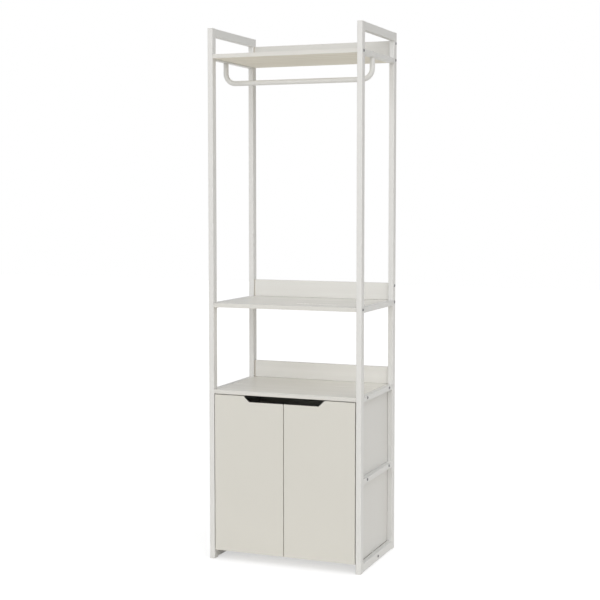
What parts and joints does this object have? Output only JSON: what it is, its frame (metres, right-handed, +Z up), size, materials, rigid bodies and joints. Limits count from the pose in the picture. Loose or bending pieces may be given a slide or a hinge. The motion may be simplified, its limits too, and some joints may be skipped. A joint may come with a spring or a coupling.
{
  "type": "coat stand",
  "caption": "Tall off-white coat stand: steel side frames, open shelves with low upstands, a bent hanging rail, and a low cabinet with hinged doors that share a finger notch.",
  "frame": {"origin": "on the floor, at the middle of the stand's width and depth", "axes": "+Z up, +X along the width to the right as seen from the front, +Y from the front to the back"},
  "size_m": [0.6, 0.4, 1.975],
  "materials": {
    "white_powder_coat": "satin powder coat",
    "white_melamine": "melamine faced board, semi-gloss",
    "ivory_door_face": "melamine faced board, satin",
    "white_backing_board": "painted thin board, matt",
    "white_plastic": "moulded, matt",
    "black_bolt_steel": "black oxide",
    "zinc_plated_steel": "zinc plated",
    "nickel_plated_steel": "nickel plated",
    "grey_plastic": "moulded, matt"
  },
  "bodies": {
    "frame": {"left_front_post": "white_powder_coat", "left_rear_post": "white_powder_coat", "left_top_rail": "white_powder_coat", "left_top_shelf_rail": "white_powder_coat", "left_mid_shelf_rail": "white_powder_coat", "left_cabinet_top_rail": "white_powder_coat", "left_cabinet_mid_rail": "white_powder_coat", "left_bottom_rail": "white_powder_coat", "right_front_post": "white_powder_coat", "right_rear_post": "white_powder_coat", "right_top_rail": "white_powder_coat", "right_top_shelf_rail": "white_powder_coat", "right_mid_shelf_rail": "white_powder_coat", "right_cabinet_top_rail": "white_powder_coat", "right_cabinet_mid_rail": "white_powder_coat", "right_bottom_rail": "white_powder_coat", "left_front_post_cap": "white_plastic", "left_rear_post_cap": "white_plastic", "left_front_foot_glide": "white_plastic", "left_rear_foot_glide": "white_plastic", "right_front_post_cap": "white_plastic", "right_rear_post_cap": "white_plastic", "right_front_foot_glide": "white_plastic", "right_rear_foot_glide": "white_plastic", "bottom_stretcher": "white_powder_coat", "top_shelf": "white_melamine", "mid_shelf": "white_melamine", "cabinet_top": "white_melamine", "inner_shelf": "white_melamine", "cabinet_bottom": "white_melamine", "top_shelf_upstand": "white_melamine", "mid_shelf_upstand": "white_melamine", "cabinet_upstand": "white_melamine", "back_panel": "white_backing_board", "left_side_panel": "white_melamine", "right_side_panel": "white_melamine", "hanging_rail": "white_powder_coat", "left_hanging_rail_insert": "white_plastic", "right_hanging_rail_insert": "white_plastic", "left_hanging_rail_bolt": "black_bolt_steel", "right_hanging_rail_bolt": "black_bolt_steel", "left_lower_hinge_arm": "zinc_plated_steel", "left_upper_hinge_arm": "zinc_plated_steel", "right_lower_hinge_arm": "zinc_plated_steel", "right_upper_hinge_arm": "zinc_plated_steel", "left_catch": "grey_plastic", "right_catch": "grey_plastic"},
    "left_door": {"left_door": "ivory_door_face", "left_lower_hinge_cup": "nickel_plated_steel", "left_upper_hinge_cup": "nickel_plated_steel", "left_lower_hinge_pin": "nickel_plated_steel", "left_upper_hinge_pin": "nickel_plated_steel", "left_strike_plate": "zinc_plated_steel"},
    "right_door": {"right_door": "ivory_door_face", "right_lower_hinge_cup": "nickel_plated_steel", "right_upper_hinge_cup": "nickel_plated_steel", "right_lower_hinge_pin": "nickel_plated_steel", "right_upper_hinge_pin": "nickel_plated_steel", "right_strike_plate": "zinc_plated_steel"}
  },
  "joints": [
    {"name": "left_door_hinge", "type": "hinge", "parent": "frame", "child": "left_door", "pos_m": [-0.2675, -0.193, 0], "axis": [0, 0, -1], "range_deg": [0, 110]},
    {"name": "right_door_hinge", "type": "hinge", "parent": "frame", "child": "right_door", "pos_m": [0.2675, -0.193, 0], "axis": [0, 0, 1], "range_deg": [0, 110]}
  ]
}
